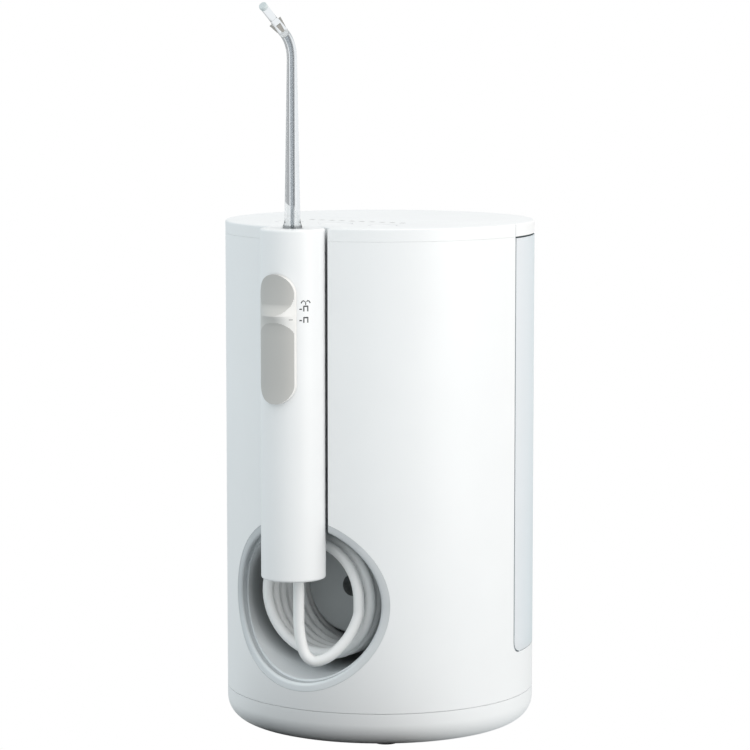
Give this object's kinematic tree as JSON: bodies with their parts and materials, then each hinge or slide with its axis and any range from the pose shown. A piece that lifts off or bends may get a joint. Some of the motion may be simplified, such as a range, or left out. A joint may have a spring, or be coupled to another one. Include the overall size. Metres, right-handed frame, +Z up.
{
  "type": "oral irrigator",
  "caption": "Round countertop oral irrigator with a lift-off rear water tank, a hose coiled in a front bay, and a docked handle with slide switch and angled nozzle.",
  "frame": {"origin": "middle of the bounding box in plan, on the plane under the feet", "axes": "+Z up, -Y to the front where the handle and the hose bay are, +X to the right seen from the front"},
  "size_m": [0.1146, 0.138, 0.2673],
  "materials": {
    "white_plastic": "satin moulded white",
    "bezel_grey": "fine matt light grey",
    "switch_grey": "soft matt warm grey",
    "tank_clear": "translucent pale blue",
    "nozzle_clear": "clear moulded",
    "hose_white": "soft white hose",
    "rubber_dark": "matt dark rubber",
    "steel": "plain steel",
    "gear_white": "natural acetal",
    "pump_grey": "glass-filled dark grey",
    "board_green": "coated circuit board",
    "light_grey": "smoked light guide, unlit"
  },
  "bodies": {
    "base": {"housing": "white_plastic", "base_cover": "white_plastic", "top_panel": "white_plastic", "level_lights": "light_grey", "control_board": "board_green", "bay_bezel": "bezel_grey", "hose_bay": "bezel_grey", "hose_gland": "white_plastic", "hose_coil": "hose_white", "hose_tail": "hose_white", "cradle_magnet": "steel", "inlet_port": "pump_grey", "port_seal": "rubber_dark", "pump_bracket": "steel", "bracket_screw_1": "steel", "bracket_screw_2": "steel", "motor": "steel", "gear_axle": "steel", "pump_cylinder": "pump_grey", "pump_head": "pump_grey", "suction_tube": "hose_white", "delivery_tube": "hose_white", "power_board": "board_green", "cord_inlet": "rubber_dark", "base_screw_1": "steel", "base_screw_2": "steel", "base_screw_3": "steel", "base_screw_4": "steel", "foot_front_right": "rubber_dark", "foot_front_left": "rubber_dark", "foot_rear_right": "rubber_dark", "foot_rear_left": "rubber_dark"},
    "handle": {"handle_shell": "white_plastic", "handle_cap": "white_plastic", "water_tube": "hose_white", "valve_body": "pump_grey", "handle_plate": "steel"},
    "switch": {"slide_switch": "switch_grey", "shutoff_slider": "pump_grey"},
    "spray_nozzle": {"nozzle": "nozzle_clear", "nozzle_tip": "nozzle_clear", "nozzle_seal": "rubber_dark"},
    "water_tank": {"tank": "tank_clear", "valve_cage": "pump_grey", "valve_spring": "steel"},
    "lid": {"tank_lid": "white_plastic"},
    "outlet_valve": {"tank_valve": "pump_grey"},
    "power_key": {"power_button": "white_plastic"},
    "pressure_up_key": {"pressure_up_button": "white_plastic"},
    "pressure_down_key": {"pressure_down_button": "white_plastic"},
    "crank_gear": {"drive_gear": "gear_white"},
    "pinion": {"motor_pinion": "gear_white"},
    "pump_piston": {"piston_rod": "gear_white", "piston": "rubber_dark"}
  },
  "joints": [
    {"name": "handle_release", "type": "slide", "parent": "base", "child": "handle", "axis": [0, -1, 0], "range_m": [0, 0.03], "deforming": ["hose_tail"]},
    {"name": "switch_slide", "type": "slide", "parent": "handle", "child": "switch", "axis": [0, 0, 1], "range_m": [0, 0.004]},
    {"name": "nozzle_pull", "type": "slide", "parent": "handle", "child": "spray_nozzle", "axis": [0, 0, 1], "range_m": [0, 0.03]},
    {"name": "tank_lift", "type": "slide", "parent": "base", "child": "water_tank", "axis": [0, 0, 1], "range_m": [0, 0.165]},
    {"name": "lid_lift", "type": "slide", "parent": "water_tank", "child": "lid", "axis": [0, 0, 1], "range_m": [0, 0.05]},
    {"name": "valve_close", "type": "slide", "parent": "water_tank", "child": "outlet_valve", "axis": [0, 0, -1], "range_m": [0, 0.0017], "deforming": ["valve_spring"]},
    {"name": "power_press", "type": "slide", "parent": "base", "child": "power_key", "axis": [0, 0, -1], "range_m": [0, 0.0008], "stiffness_N_per_m": 700},
    {"name": "pressure_up_press", "type": "slide", "parent": "base", "child": "pressure_up_key", "axis": [0, 0, -1], "range_m": [0, 0.0008], "stiffness_N_per_m": 700},
    {"name": "pressure_down_press", "type": "slide", "parent": "base", "child": "pressure_down_key", "axis": [0, 0, -1], "range_m": [0, 0.0008], "stiffness_N_per_m": 700},
    {"name": "gear_spin", "type": "hinge", "parent": "base", "child": "crank_gear", "pos_m": [-0.00308, -0.01576, 0.1115], "axis": [0, 0, 1], "continuous": true},
    {"name": "pinion_spin", "type": "hinge", "parent": "base", "child": "pinion", "pos_m": [-0.02, -0.01576, 0.1115], "axis": [0, 0, 1], "continuous": true},
    {"name": "piston_stroke", "type": "slide", "parent": "base", "child": "pump_piston", "axis": [1, 0, 0], "range_m": [-0.0025, 0.0025]}
  ],
  "couplings": [
    {"joint": "pinion_spin", "follows": "gear_spin", "ratio": -3.6667},
    {"joint": "valve_close", "follows": "tank_lift", "ratio": 0.0103}
  ]
}
